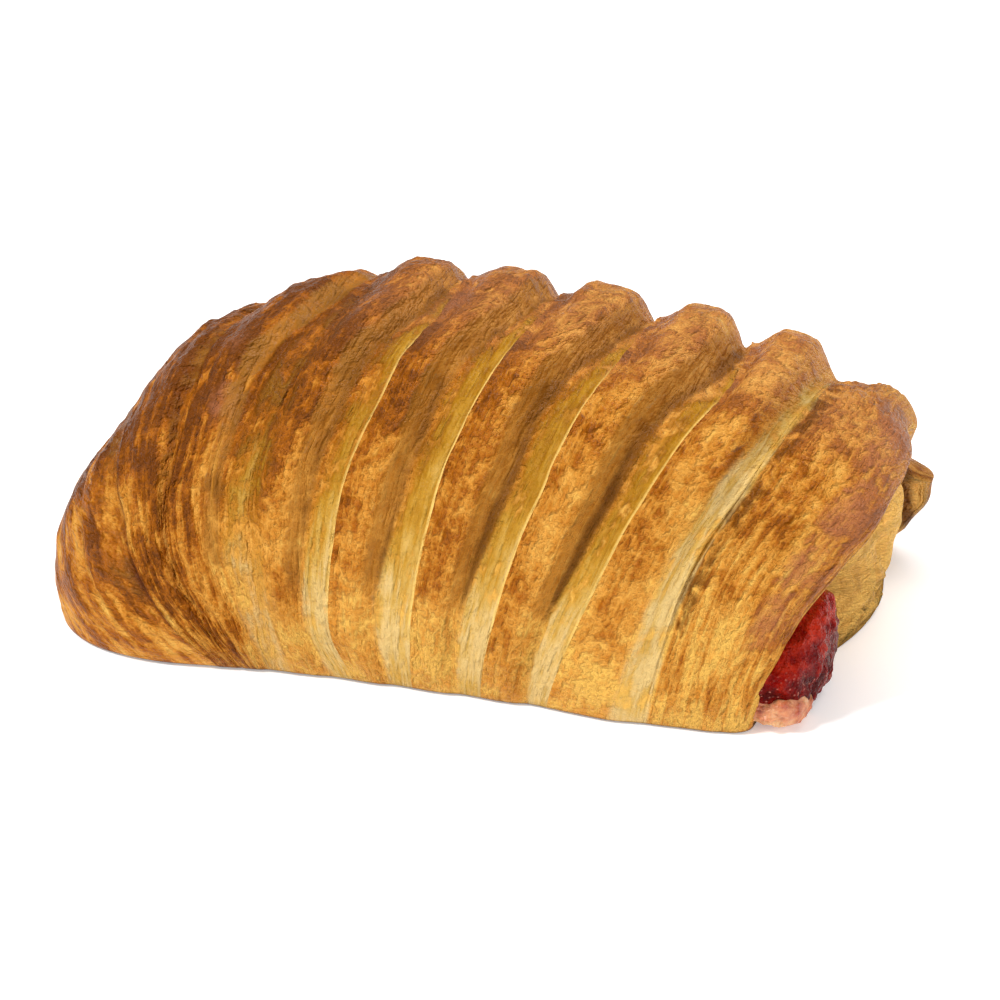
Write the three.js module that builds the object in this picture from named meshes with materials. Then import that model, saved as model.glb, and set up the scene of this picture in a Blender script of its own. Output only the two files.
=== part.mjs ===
// A filled croissant pocket: laminated dough slashed into strips and folded over a filling of strawberry jam
// and soft cheese. The left end is sealed and low. The right end is open, its top sheet leans out over the base,
// and the filling swells from a pocket in its front corner. Sizes are in millimetres, +Z is up, the loaf lies
// along X and its slashed front faces -Y.
import * as THREE from "three";

// Driving dimensions of the loaf
const loaf = { frontLeft: -60.4, frontLength: 117.5, width: 78, height: 54 };
const stripFeet = [19.5, 7, 9.5, 13, 12.5, 13, 13, 10.5, 19.5]; // each strip's width along the front foot
const stripLifts = [0.6, 0.7, 1, 1.5, 1.8, 2.2, 3, 3.2, -0.4]; // how far its top stands out of the plain loaf
const section = { widthPower: 2.7, heightPower: 2.35 }; // how square the slice is, 2 being an ellipse
const tip = { nose: 5.8, noseRings: 5, widthRun: 24, widthPower: 2.8, heightRun: 48.5, heightPower: 1.63 };
const openEnd = { from: 0.3, widthShare: 0.93, heightShare: 0.7 };
const foot = { tuckLeft: 4.3, tuckRight: 1.2, beltHeight: 13 }; // how far the sides turn in under the belly
const lean = { upLeft: -14, upRight: 24, power: 1.13, backLeft: 5, backRight: 10 }; // how the slices fan out
const bow = 2.2; // the middle lies this far behind the ends

// Relief of the strips
const valley = { left: 0.4, right: 2, from: 0.15, to: 0.8 }; // depth of the valleys in the plain loaf
const ridgeStep = 0.45; // height of a strip's crisp left edge, as a share of the whole ridge
const ridgeTop = { start: 0.48, end: 0.66, floor: 0.92 };
const ridgeColumns = [0, 0.16, 0.34, 0.52, 0.68, 0.8, 0.93];
const ridgeFade = { frontShare: 0.3, frontTo: 65, backShare: 0.35, backFrom: 128, backTo: 168 }; // shallow at the feet
const seam = { angle: 155, spread: 6, height: 2, from: 0.12, to: 0.42 }; // edge of the base sheet up the back
const footBlend = 6; // the crust is plain this far up from the floor

// The open end: lip, end wall and pocket
const lip = { from: 0.955, roundOff: 3.2 };
const endFrom = 0.8; // share of the length where the shape of the open end begins
const lipCuts = [
  { angle: 62, back: 0 },
  { angle: 84, back: 1.5 },
  { angle: 108, back: 6 },
  { angle: 126, back: 4.5 },
  { angle: 147, back: 4 },
  { angle: 160, back: -3 },
  { angle: 170, back: -3 },
  { angle: 180, back: 0 },
]; // how far the lip is cut back round the end, less than 0 where the back sheet curls out
const baseBulge = { out: 6, share: 0.72 }; // the base sheet's end stands out, but not in its front corner
const endWallSteps = [0.06, 0.16, 0.3, 0.46, 0.64, 0.82];
const endWallPower = { lip: 0.5, base: 1.7, from: 135, to: 175 }; // hollow under the lip, round over the base
const pocket = { frontX: 60, backX: 63.5, y: -18.5, z: 10.2, halfWidth: 12.8, halfHeight: 9, power: 3 };
const channel = { leftX: -36, y: 1.5, z: 20, halfWidth: 19, halfHeight: 9.5, mouthRun: 0.62 };
const channelEnd = { run: 0.25, share: 0.3, pole: 2 }; // the channel's rounded left end
const channelSteps = 9;

// The filling
const filling = { gap: 0.6, cheeseTilt: 44, cheeseEdge: 0.6, floor: 0.3 };
const fillingSides = { arc: 18, chord: 5 };
const jamSwell = [
  { out: 1.2, grow: 1.04, down: 0.4, front: 0 },
  { out: 2.8, grow: 1.06, down: 1.8, front: 0.5 },
  { out: 4.3, grow: 0.94, down: 2.8, front: 1 },
  { out: 5, grow: 0.6, down: 2.8, front: 1 },
]; // rings of the jam outside the pocket, the last one before its tip
const cheeseSwell = [
  { out: 1.2, grow: 1.05, down: 0.6, front: 0.5 },
  { out: 2.8, grow: 1.2, down: 1.5, front: 1.5 },
  { out: 4.2, grow: 1.05, down: 2, front: 1.8 },
  { out: 4.8, grow: 0.65, down: 1.8, front: 1.6 },
];
const swellTip = 0.3;

// Facets round a slice: over the top, and under the base
const facets = { dome: 44, base: 12 };

const clamp01 = (t) => Math.min(1, Math.max(0, t));
const smooth = (t) => clamp01(t) ** 2 * (3 - 2 * clamp01(t));
const mix = THREE.MathUtils.lerp;
const radians = THREE.MathUtils.degToRad;

// Rises from 0 at the nose to 1 over run, as a rounded end does
function roundedRise(along, run, power) {
  const left = clamp01(1 - (along + tip.nose) / (run + tip.nose));
  return (1 - left ** power) ** (1 / power);
}

// Width, height and lean of the slice at u, which runs from 0 at the first strip to 1 at the open end
function sliceAt(u) {
  const along = u * loaf.frontLength;
  const fall = clamp01((u - openEnd.from) / (1 - openEnd.from)) ** 2;
  const wide = roundedRise(along, tip.widthRun, tip.widthPower);
  const tall = roundedRise(along, tip.heightRun, tip.heightPower);
  return {
    frontX: loaf.frontLeft + along,
    halfWidth: (loaf.width / 2) * wide * mix(1, openEnd.widthShare, fall),
    height: loaf.height * tall * mix(1, openEnd.heightShare, fall),
    tuck: mix(foot.tuckLeft, foot.tuckRight, u) * wide * tall,
    leanUp: mix(lean.upLeft, lean.upRight, u),
    leanBack: mix(lean.backLeft, lean.backRight, u),
    middleY: bow * (1 - (2 * u - 1) ** 2),
  };
}

// Height of a strip across its width: a crisp left edge, a rounded top and a steep right flank
function ridgeHeight(across) {
  if (across < ridgeTop.start) return mix(ridgeStep, 1, smooth(across / ridgeTop.start));
  return 1 - smooth((across - ridgeTop.end) / (ridgeTop.floor - ridgeTop.end));
}

// How far the crust stands out of the plain loaf
function reliefAt(u, strip, across, angle) {
  const floor = -mix(valley.left, valley.right, smooth((u - valley.from) / (valley.to - valley.from)));
  const backFade = smooth((angle - ridgeFade.backFrom) / (ridgeFade.backTo - ridgeFade.backFrom));
  const fade = mix(ridgeFade.frontShare, 1, smooth(angle / ridgeFade.frontTo)) * mix(1, ridgeFade.backShare, backFade);
  const strips = fade * mix(floor, stripLifts[strip], ridgeHeight(across));
  const baseEdge = seam.height * smooth((angle - seam.angle) / seam.spread) * smooth((u - seam.from) / (seam.to - seam.from));
  const endShare = clamp01((u - lip.from) / (1 - lip.from));
  const roundOff = lip.roundOff * (1 - Math.sqrt(1 - endShare ** 2));
  return strips + baseEdge - roundOff;
}

// How far the lip is cut back at an angle round the end
function lipCut(angle) {
  const next = lipCuts.findIndex((cut) => cut.angle >= angle);
  if (next === 0) return lipCuts[0].back;
  const [before, after] = [lipCuts[next - 1], lipCuts[next]];
  return mix(before.back, after.back, smooth((angle - before.angle) / (after.angle - before.angle)));
}

const endShape = (u) => smooth((u - endFrom) / (1 - endFrom));

// A point of the crust: angle 0 is the front foot, 90 the top and 180 the back foot
function crustPoint(u, strip, across, angle) {
  const slice = sliceAt(u);
  const cos = Math.cos(radians(angle));
  const sin = Math.sin(radians(angle));
  let y = -slice.halfWidth * Math.sign(cos) * Math.abs(cos) ** (2 / section.widthPower);
  let z = slice.height * Math.max(0, sin) ** (2 / section.heightPower);
  y -= Math.sign(y) * slice.tuck * clamp01(1 - z / foot.beltHeight) ** 2;
  const upShift = slice.leanUp * (z / loaf.height) ** lean.power;
  const x = slice.frontX + upShift + slice.leanBack * (y / loaf.width + 0.5) - lipCut(angle) * endShape(u);
  const outward = new THREE.Vector2(y, z - slice.height / 4).normalize();
  const push = reliefAt(u, strip, across, angle);
  y += outward.x * push;
  z = Math.max(0, z + outward.y * push * smooth(z / footBlend));
  return new THREE.Vector3(x, y + slice.middleY, z);
}

// One ring round the loaf: the crust from front foot to back foot, then the base back to the front
function crustRing(u, strip, across) {
  const ring = [];
  for (let i = 0; i <= facets.dome; i++) ring.push(crustPoint(u, strip, across, (180 * i) / facets.dome));
  const back = ring[facets.dome];
  const front = ring[0];
  for (let i = 1; i < facets.base; i++) {
    const t = i / facets.base;
    const point = back.clone().lerp(front, t);
    point.x += baseBulge.out * Math.sin(Math.PI * clamp01(t / baseBulge.share)) * endShape(u);
    ring.push(point);
  }
  return ring;
}

// Rings over every strip, closest together at the crisp edges
function crustRings() {
  const rings = [];
  let start = 0;
  stripFeet.forEach((width, strip) => {
    for (const across of ridgeColumns) {
      rings.push(crustRing((start + across * width) / loaf.frontLength, strip, across));
    }
    start += width;
  });
  rings.push(crustRing(1, stripFeet.length - 1, ridgeTop.end));
  return rings;
}

// The sealed nose, left of the first strip
function noseRings() {
  const rings = [];
  for (let i = 1; i < tip.noseRings; i++) {
    const along = tip.nose * ((i / tip.noseRings) ** 2 - 1);
    rings.push(crustRing(along / loaf.frontLength, 0, 0));
  }
  return rings;
}

// Section of the filling's channel, from its left end at 0 to the pocket's rim at 1
function channelAt(t) {
  const mouth = smooth((t - channel.mouthRun) / (1 - channel.mouthRun));
  const grow = mix(channelEnd.share, 1, Math.sqrt(1 - clamp01(1 - t / channelEnd.run) ** 2));
  const rimX = (pocket.frontX + pocket.backX) / 2;
  return {
    x: mix(channel.leftX, rimX, t),
    y: mix(channel.y, pocket.y, mouth),
    z: mix(channel.z, pocket.z, mouth),
    halfWidth: mix(channel.halfWidth * grow, pocket.halfWidth, mouth),
    halfHeight: mix(channel.halfHeight * grow, pocket.halfHeight, mouth),
    slant: ((pocket.backX - pocket.frontX) / (2 * pocket.halfWidth)) * mouth,
    power: mix(2, pocket.power, mouth),
  };
}

// A point of the channel's wall, or of what lies gap inside it
function channelPoint(at, across, up, gap = 0) {
  const square = Math.hypot(across, up) / (Math.abs(across) ** at.power + Math.abs(up) ** at.power) ** (1 / at.power);
  const y = square * across * (at.halfWidth - gap);
  return new THREE.Vector3(at.x + at.slant * y, at.y + y, at.z + square * up * (at.halfHeight - gap));
}

function channelRing(t) {
  const at = channelAt(t);
  const ring = [];
  for (let i = 0; i <= facets.dome; i++) {
    const turn = (Math.PI * i) / facets.dome;
    ring.push(channelPoint(at, -Math.cos(turn), Math.sin(turn)));
  }
  for (let i = 1; i < facets.base; i++) {
    const turn = Math.PI * (1 + i / facets.base);
    ring.push(channelPoint(at, -Math.cos(turn), Math.sin(turn)));
  }
  return ring;
}

// The wall of the open end, between the lip or the base's edge and the pocket's rim
function endWallRings(lipRing) {
  const rim = channelRing(1);
  return endWallSteps.map((share) =>
    lipRing.map((point, i) => {
      const angle = (180 * i) / facets.dome;
      const toBase = smooth((angle - endWallPower.from) / (endWallPower.to - endWallPower.from));
      const moved = point.clone().lerp(rim[i], share);
      moved.x = mix(point.x, rim[i].x, share ** mix(endWallPower.lip, endWallPower.base, toBase));
      return moved;
    }),
  );
}

// A closed solid over rings of equal count, with a pole at each end
function loft(startPole, rings, endPole) {
  const count = rings[0].length;
  const points = [startPole, ...rings.flat(), endPole];
  const last = points.length - 1;
  const at = (ring, i) => 1 + ring * count + (i % count);
  const index = [];
  for (let i = 0; i < count; i++) {
    index.push(0, at(0, i), at(0, i + 1));
    for (let ring = 0; ring + 1 < rings.length; ring++) {
      index.push(at(ring, i), at(ring + 1, i), at(ring + 1, i + 1));
      index.push(at(ring, i), at(ring + 1, i + 1), at(ring, i + 1));
    }
    index.push(at(rings.length - 1, i), last, at(rings.length - 1, i + 1));
  }
  const geometry = new THREE.BufferGeometry().setFromPoints(points);
  geometry.setIndex(index);
  geometry.computeVertexNormals();
  return geometry;
}

const channelTimes = Array.from({ length: channelSteps + 1 }, (_, i) => i / channelSteps);

function doughGeometry() {
  const crust = crustRings();
  const nose = noseRings();
  const pole = crustPoint(-tip.nose / loaf.frontLength, 0, 0, 90);
  const wall = endWallRings(crust[crust.length - 1]);
  const cavity = [...channelTimes].reverse().map(channelRing);
  const start = channelAt(0);
  const cavityEnd = new THREE.Vector3(start.x - channelEnd.pole, start.y, start.z);
  return loft(pole, [...nose, ...crust, ...wall, ...cavity], cavityEnd);
}

// The filling's two halves share the channel: side 1 is the jam, side -1 the cheese below and in front of it
function fillingRing(t, side, swell = { out: 0, grow: 1, down: 0, front: 0 }) {
  const at = channelAt(t);
  const toCheese = radians(-90 - filling.cheeseTilt);
  const half = Math.acos(filling.cheeseEdge);
  const middle = side > 0 ? toCheese + Math.PI : toCheese;
  const reach = side > 0 ? Math.PI - half : half;
  const clear = filling.gap / at.halfHeight;
  const shift = new THREE.Vector2(Math.cos(toCheese), Math.sin(toCheese)).multiplyScalar(-side * clear);
  const flat = [];
  for (let i = 0; i <= fillingSides.arc; i++) {
    const turn = middle + reach * (1 - (2 * i) / fillingSides.arc);
    flat.push(new THREE.Vector2(Math.cos(turn), Math.sin(turn)).multiplyScalar(1 - clear).add(shift));
  }
  const [first, final] = [flat[0], flat[fillingSides.arc]];
  for (let i = 1; i < fillingSides.chord; i++) {
    flat.push(final.clone().lerp(first, i / fillingSides.chord));
  }
  const centre = new THREE.Vector2();
  for (const point of flat) centre.addScaledVector(point, 1 / flat.length);
  return flat.map((point) => {
    const scaled = centre.clone().lerp(point, swell.grow);
    const moved = channelPoint(at, scaled.x, scaled.y, filling.gap);
    moved.x += swell.out;
    moved.y -= swell.front;
    moved.z = Math.max(filling.floor, moved.z - swell.down);
    return moved;
  });
}

function middleOf(ring) {
  const middle = new THREE.Vector3();
  for (const point of ring) middle.addScaledVector(point, 1 / ring.length);
  return middle;
}

function fillingGeometry(side, swellRings) {
  const inside = channelTimes.map((t) => fillingRing(t, side));
  const outside = swellRings.map((swell) => fillingRing(1, side, swell));
  const end = middleOf(outside[outside.length - 1]);
  end.x += swellTip;
  return loft(middleOf(inside[0]), [...inside, ...outside], end);
}

const crustMaterial = new THREE.MeshStandardMaterial({ color: 0xc8823a, roughness: 0.55, metalness: 0 });
const jamMaterial = new THREE.MeshStandardMaterial({ color: 0x8c1414, roughness: 0.2, metalness: 0 });
const cheeseMaterial = new THREE.MeshStandardMaterial({ color: 0xe0a88a, roughness: 0.4, metalness: 0 });

function piece(name, geometry, material) {
  const mesh = new THREE.Mesh(geometry, material);
  mesh.name = name;
  return mesh;
}

const pastry = new THREE.Group();
pastry.add(
  piece("dough", doughGeometry(), crustMaterial),
  piece("strawberry_filling", fillingGeometry(1, jamSwell), jamMaterial),
  piece("cheese_filling", fillingGeometry(-1, cheeseSwell), cheeseMaterial),
);

// The origin is the middle of the base
const bounds = new THREE.Box3().setFromObject(pastry);
const middle = bounds.getCenter(new THREE.Vector3());
for (const mesh of pastry.children) mesh.position.set(-middle.x, -middle.y, -bounds.min.z);

export default pastry;
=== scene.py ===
import math

import bpy
import numpy as np
from mathutils import Matrix, Vector


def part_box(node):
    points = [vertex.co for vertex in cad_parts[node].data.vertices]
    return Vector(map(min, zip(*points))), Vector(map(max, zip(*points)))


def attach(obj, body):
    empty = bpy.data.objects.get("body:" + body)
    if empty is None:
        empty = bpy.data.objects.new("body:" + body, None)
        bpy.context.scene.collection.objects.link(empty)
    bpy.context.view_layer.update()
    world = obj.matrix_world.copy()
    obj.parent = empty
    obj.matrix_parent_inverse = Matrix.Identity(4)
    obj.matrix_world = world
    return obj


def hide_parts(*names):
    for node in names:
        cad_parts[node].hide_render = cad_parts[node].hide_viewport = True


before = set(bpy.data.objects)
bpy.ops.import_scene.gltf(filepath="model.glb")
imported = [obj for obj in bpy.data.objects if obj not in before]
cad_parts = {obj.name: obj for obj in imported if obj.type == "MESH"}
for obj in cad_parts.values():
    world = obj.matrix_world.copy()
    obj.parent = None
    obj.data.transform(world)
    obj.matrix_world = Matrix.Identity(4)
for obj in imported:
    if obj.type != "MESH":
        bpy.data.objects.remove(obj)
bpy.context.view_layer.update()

mm = 0.001

# The loaf, in millimetres, in its own frame: X along it, -Y the slashed front, floor at 0
loaf = {
    "frontLeft": -60.4, "frontLength": 117.5, "width": 78.0, "height": 54.0,
    "widthPower": 2.7, "heightPower": 2.35,
    "nose": 5.8, "noseWidthRun": 24.0, "noseWidthPower": 2.8, "noseHeightRun": 48.5, "noseHeightPower": 1.63,
    "fallFrom": 0.3, "endWidthShare": 0.93, "endHeightShare": 0.7,
    "tuckLeft": 4.3, "tuckRight": 1.2, "tuckLimit": 0.9, "beltHeight": 13.0,
    "footRound": 1.4, "footRoundIn": 0.8, "footRoundGrowth": 1.6,
    "leanUpLeft": -14.0, "leanUpRight": 24.0, "leanPower": 1.13, "leanBackLeft": 5.0, "leanBackRight": 10.0,
    "bow": 2.2, "pushFrom": 0.25, "footBlend": 6.0,
    "endFrom": 0.8, "lipFrom": 0.945, "lipRound": 3.6,
    "lipCutAngles": [0.0, 14.0, 32.0, 48.0, 62.0, 84.0, 108.0,
                     126.0, 146.0, 152.0, 160.0, 168.0, 175.0, 180.0],
    "lipCutBacks": [0.2, 1.4, 2.2, 1.4, 0.4, 1.5, 6.0, 4.5, 4.0, 2.4, -3.6, -4.8, -3.6, -1.0],
    "baseBulge": 6.0, "baseBulgeShare": 0.72,
}

# Slashes of the top, from the left tip. Each edge is a line of (angle, place along the foot). Lift is the
# height of the strip right of it, depth the slash's own, start the edge's share of the lift, wide the cut
# face's share of the strip left of it. Pale paints that face. Line paints a highlight along its edge, crack a
# painted shade in the cracks beside it, and fold a painted shade on the slash's floor.
# Bleed is how far the pale paint runs past the edge, and topShare what is left of it high up
plainSlash = {"lift": 0.0, "depth": 0.0, "start": 0.0, "wide": 0.0, "pale": 0.0, "line": 0.0, "crack": 0.0,
              "fold": 0.0, "bleed": 0.0, "topShare": 1.0}
slashes = [
    {"edge": [(0, 0.0), (180, 0.0)], "lift": 0.6, "start": 0.9, "wide": 0.1},
    {"edge": [(0, 30.0), (4, 27.1), (8, 24.1), (13, 21.3), (20, 18.8), (26, 17.7), (36, 16.8), (43, 15.4),
              (56, 14.1), (90, 13.0), (180, 15.0)],
     "lift": 0.9, "depth": 0.7, "start": 0.9, "wide": 0.08, "crack": 1.0},
    {"edge": [(0, 34.0), (5, 31.5), (13, 27.8), (21, 25.4), (26, 24.6), (32, 24.2), (38, 23.8), (45, 24.6),
              (70, 25.0), (95, 24.2), (110, 23.8), (180, 24.0)],
     "lift": 0.9, "depth": 0.8, "start": 0.85, "wide": 0.12, "crack": 0.35, "fold": 0.3},
    {"edge": [(0, 39.6), (6, 38.6), (12, 37.8), (19, 36.6), (33, 35.6), (40, 36.0), (47, 36.8), (56, 38.1),
              (67, 39.0), (77, 39.7), (90, 40.2), (104, 40.0), (180, 38.0)],
     "lift": 1.3, "depth": 1.5, "start": 0.35, "wide": 0.46, "pale": 0.44, "fold": 0.5, "bleed": 3.4,
     "topShare": 0.5},
    {"edge": [(0, 52.4), (3, 51.2), (7, 49.3), (12, 48.5), (32, 48.7), (40, 49.1), (48, 50.1), (57, 51.2),
              (66, 51.4), (76, 51.8), (86, 52.4), (98, 51.6), (112, 50.3), (180, 49.0)],
     "lift": 1.6, "depth": 1.6, "start": 0.55, "wide": 0.4, "pale": 0.75, "line": 0.7, "fold": 0.8},
    {"edge": [(0, 62.1), (4, 61.9), (14, 61.3), (33, 61.5), (43, 61.6), (52, 62.2), (64, 62.9), (84, 63.1),
              (92, 63.6), (112, 62.9), (180, 62.0)],
     "lift": 1.9, "depth": 1.9, "start": 0.55, "wide": 0.46, "pale": 1.0, "line": 0.95, "fold": 0.7},
    {"edge": [(0, 73.5), (20, 73.9), (35, 74.5), (43, 75.2), (50, 75.1), (58, 75.3), (71, 76.0), (99, 75.8),
              (180, 74.5)],
     "lift": 2.4, "depth": 2.1, "start": 0.55, "wide": 0.42, "pale": 1.0, "line": 0.8, "fold": 0.9},
    {"edge": [(0, 84.4), (13, 85.7), (27, 86.9), (38, 87.5), (52, 88.6), (61, 89.2), (74, 89.9), (88, 90.3),
              (96, 89.6), (114, 88.0), (180, 88.0)],
     "lift": 3.0, "depth": 2.4, "start": 0.55, "wide": 0.4, "pale": 1.0, "line": 0.7, "fold": 1.0},
    {"edge": [(0, 100.2), (8, 99.8), (14, 99.4), (27, 98.4), (40, 98.2), (58, 99.3), (75, 99.5), (93, 100.6),
              (114, 102.2), (180, 100.0)],
     "lift": 0.4, "depth": 1.7, "wide": 0.03, "pale": 0.9, "bleed": 1.0},
    {"edge": [(0, 117.5), (180, 117.5)]},
]

# How a strip is shaped between two slashes. A pair with a run has a start and the length over which it grows
strips = {
    "columns": 42, "rows": 190, "baseRows": 18, "noseColumns": 14, "noseWidth": 20.0,
    "crispLeft": [0, 0.005, 0.014, 0.027, 0.046], "crispRight": [0.962, 0.976, 0.988, 0.996, 1.0],
    "plainShares": (0.07, 0.945),
    "rowSlice": 0.55, "rowSteps": 6001, "backRows": 0.5, "backRowsFrom": (105, 30), "strandAngle": 45,
    "onTop": (64, 22), "crestStart": (0.22, 0.36), "topStart": 0.35,
    "fallRun": 0.24, "valleyFallRun": 0.34, "floorRun": 0.6,
    "wideShares": ([0, 8, 16, 30, 48, 62, 76, 92, 106, 180],
                   [0.75, 1.05, 1.05, 0.92, 0.92, 1.05, 0.95, 0.42, 0.14, 0.14]),
    "leastWide": 0.03, "facetPower": 1.6,
    "edgeStep": 0.2, "edgeStepPower": 6, "edgeCurl": 0.2, "edgeCurlWidth": 0.6,
    "frontShare": 0.42, "frontTo": 52.0, "backShare": 0.35, "back": (128, 40),
    "footShare": 0.25, "footTo": 8.0, "valleyShare": 0.35, "valleyUp": (20, 60),
    "seam": (155, 6), "seamAlong": (0.12, 0.3), "seamHeight": 2.0,
}

# Creases of the gathered left end, each a line of angles and places along the foot
creases = [
    {"depth": 0.45, "line": [(3.8, 18.7), (8, 15.3), (12, 12.8), (20, 10.7), (28, 9.5), (39, 8.5), (49, 7.9),
                             (70, 7.5)]},
    {"depth": 0.35, "line": [(2, 25.0), (8, 19.6), (14, 15.6), (24, 13.0), (36, 11.6), (50, 11.0)]},
    {"depth": 0.45, "line": [(8, 32.1), (11, 28.3), (16, 24.5), (23, 21.7), (30, 20.9), (36, 20.6),
                             (50, 19.5)]},
    {"depth": 0.4, "line": [(14, 34.1), (19, 31.9), (25, 30.4), (33, 29.9), (44, 30.2), (58, 30.0)]},
    {"depth": 0.3, "line": [(30, 41.6), (42, 42.2), (54, 43.4), (66, 44.0)]},
    {"depth": 0.45, "line": [(2, 28.5), (4, 27.1), (8, 24.1), (13, 21.3), (20, 18.8), (26, 17.7), (36, 16.8),
                             (43, 15.4), (56, 14.1), (74, 13.4)]},
    {"depth": 0.5, "line": [(8, 30.0), (13, 27.8), (21, 25.4), (26, 24.6), (32, 24.2), (38, 23.8), (45, 24.6),
                            (66, 25.0)]},
]
# Shape of each crease; darkRun and darkDepth set the painted shade in its groove
creaseShape = {"lipRun": 2.2, "grooveRun": 0.6, "grooveShare": 0.9, "sharpness": 0.2, "fade": 6.0,
               "darkRun": 0.6, "darkDepth": 0.6}

# Local lifts and hollows of the skin: place along the foot, angle, reach each way, height
swells = [
    {"at": 20.0, "angle": 82.0, "reach": (9.0, 18.0), "out": 1.6},
    {"at": 6.5, "angle": 78.0, "reach": (4.5, 11.0), "out": -2.2},
    {"at": 14.0, "angle": 97.0, "reach": (4.0, 10.0), "out": 0.9},
    {"at": 23.5, "angle": 103.0, "reach": (3.5, 12.0), "out": -1.4},
    {"at": 1.0, "angle": 50.0, "reach": (5.0, 11.0), "out": 1.5},
    {"at": 0.0, "angle": 10.0, "reach": (6.0, 10.0), "out": -0.9},
    {"at": 22.0, "angle": 2.0, "reach": (14.0, 9.0), "out": 1.5},
    {"at": 96.0, "angle": 2.0, "reach": (8.0, 8.0), "out": 1.0},
    {"at": 106.0, "angle": 117.0, "reach": (4.0, 12.0), "out": -1.3},
    {"at": 114.0, "angle": 118.0, "reach": (4.0, 10.0), "out": 1.6},
    {"at": 113.0, "angle": 14.0, "reach": (1.6, 13.0), "out": -0.9},
]

# Smooth patches of the skin painted with a pinkish sheen: place along the foot, angle, reach each way,
# strength
plumSheenPatches = [
    {"at": 30.0, "angle": 58.0, "reach": (2.6, 8.0), "share": 1.0},
    {"at": 28.0, "angle": 78.0, "reach": (2.0, 5.0), "share": 0.6},
    {"at": 53.5, "angle": 92.0, "reach": (2.2, 9.0), "share": 0.8},
    {"at": 45.0, "angle": 88.0, "reach": (2.6, 6.0), "share": 0.5},
    {"at": 113.5, "angle": 62.0, "reach": (2.6, 9.0), "share": 1.1},
    {"at": 112.5, "angle": 44.0, "reach": (2.0, 6.0), "share": 1.0},
    {"at": 113.0, "angle": 26.0, "reach": (2.6, 9.0), "share": 0.7},
    {"at": 114.0, "angle": 86.0, "reach": (3.0, 10.0), "share": 0.7},
]

# Fine relief, in millimetres: size of the lumps across and along the strips, and how far they stand out
texture = {
    "lumps": (9.0, 12.0, 0.4), "blisters": (2.1, 3.4, 0.3), "strands": (1.2, 11.0, 0.2),
    "pits": (1.7, 2.0, 0.6), "layers": (4.2, 7.0, 0.32),
}
flaking = {
    # pitDark is the painted shade in the pits
    "endRun": 0.15, "tipTo": (-20, 8), "tipUp": (45, 25), "pitFrom": 0.12, "pitDark": 0.5, "pitDeep": 0.3,
    "layerSpread": 4, "layerSteps": 3, "plainLayers": 0.45, "cutSmooth": 0.8, "strandShares": (0.7, 1.5),
    "footCalm": 8, "backCalm": 0.8, "backCalmFrom": (165, 15), "lipCalm": 0.05,
}

# Paint of the crust. Two lists are a curve over the angle or the length, two numbers a start and a run
paint = {
    "gather": (26, 16),
    "browning": ([0, 6, 15, 30, 50, 75, 100, 130, 180], [0.16, 0.24, 0.44, 0.68, 0.82, 0.95, 0.92, 0.8, 0.6]),
    "gatheredBrowning": ([0, 20, 45, 70, 180], [0.62, 0.75, 0.94, 1.02, 0.85]),
    "lengthBrowning": ([0.0, 0.22, 0.4, 0.55, 0.75, 1.0], [1.0, 1.14, 1.16, 1.03, 0.76, 0.88]),
    "endBrowning": ([0, 25, 45, 60, 90, 140, 160], [1.0, 1.0, 1.02, 1.02, 1.0, 1.0, 1.3]),
    "leftTop": 0.2, "leftTopLength": ((0.02, 0.12), (0.3, 0.2)), "leftTopAngles": ((32, 30), (95, 20)),
    "edgeBrown": 0.1, "edgeBrownReach": 2.5, "crestPaler": (0.2, 0.2),
    "lipBrown": 0.2, "lipPlumSheen": 0.55, "lipLength": (0.93, 0.05), "lipAngles": ((15, 20), (95, 15)),
    "cutBefore": 0.09, "cutRun": ([0, 25, 45, 70], [0.24, 0.28, 0.4, 0.44]), "cutFade": (36, 20),
    "valleyFrom": ([0, 38, 58, 76], [0.56, 0.58, 0.68, 0.78]), "valleyRun": ([38, 70], [0.24, 0.16]),
    "cutTop": 0.3, "cutTopFrom": (82, 26), "bleedFrom": 0.3, "leastBleed": 0.001,
    # Painted light and shade of the cut faces over the angle: dark at the slash's floor, light at the edge
    "floorLight": ([0, 5, 12, 22, 34, 50, 80], [0.78, 0.86, 0.86, 0.58, 0.14, 0.04, 0.0]),
    "edgeLight": ([0, 5, 12, 22, 34, 50, 80], [0.86, 0.95, 0.98, 0.82, 0.54, 0.36, 0.26]),
    "valleyLight": ([0, 20, 60, 90], [1.02, 0.96, 0.84, 0.7]),
    # Masks of painted light: shade on flanks, slash floors and cracks, a highlight along the edges, a contact
    # shadow at the foot, a sheen on the tops and shadow spots past the last edge
    "fullDepth": 1.8, "flankAcross": ((-0.24, 0.12), (0, 0.1)), "flankAngles": ((8, 16), (100, 16)),
    "foldWide": ([0, 20, 40], [0.04, 0.045, 0.075]), "foldAngles": ((10, 14), (96, 16)),
    "crackBefore": 0.8, "crackPast": 0.35, "crackAlong": 5, "crackAngles": ((3, 8), (62, 25)),
    "lineAcross": (0.962, 0.02), "lineAngles": ((4, 14), (72, 16)),
    "soleHeight": (0.2, 0.7), "crownUp": (66, 26), "crownLength": (0.3, 0.15),
    "fuzzAt": 1.8, "fuzzReach": 2.2, "fuzzAngles": ((8, 20), (95, 15)),
    "gatherStreak": 0.8, "backStreak": 0.8, "backStreakFrom": (75, 35),
    "endStreak": ([0, 30, 50, 90], [1.0, 0.9, 0.5, 0.3]),
}


def clamp01(t):
    return np.clip(t, 0.0, 1.0)


def smooth(t):
    t = clamp01(t)
    return t * t * (3 - 2 * t)


def mix(a, b, t):
    return a + (b - a) * t


def grow(value, span):
    # 0 to 1 from a start, over a run
    return smooth((value - span[0]) / span[1])


def between(value, up, down):
    return grow(value, up) * (1 - grow(value, down))


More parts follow.
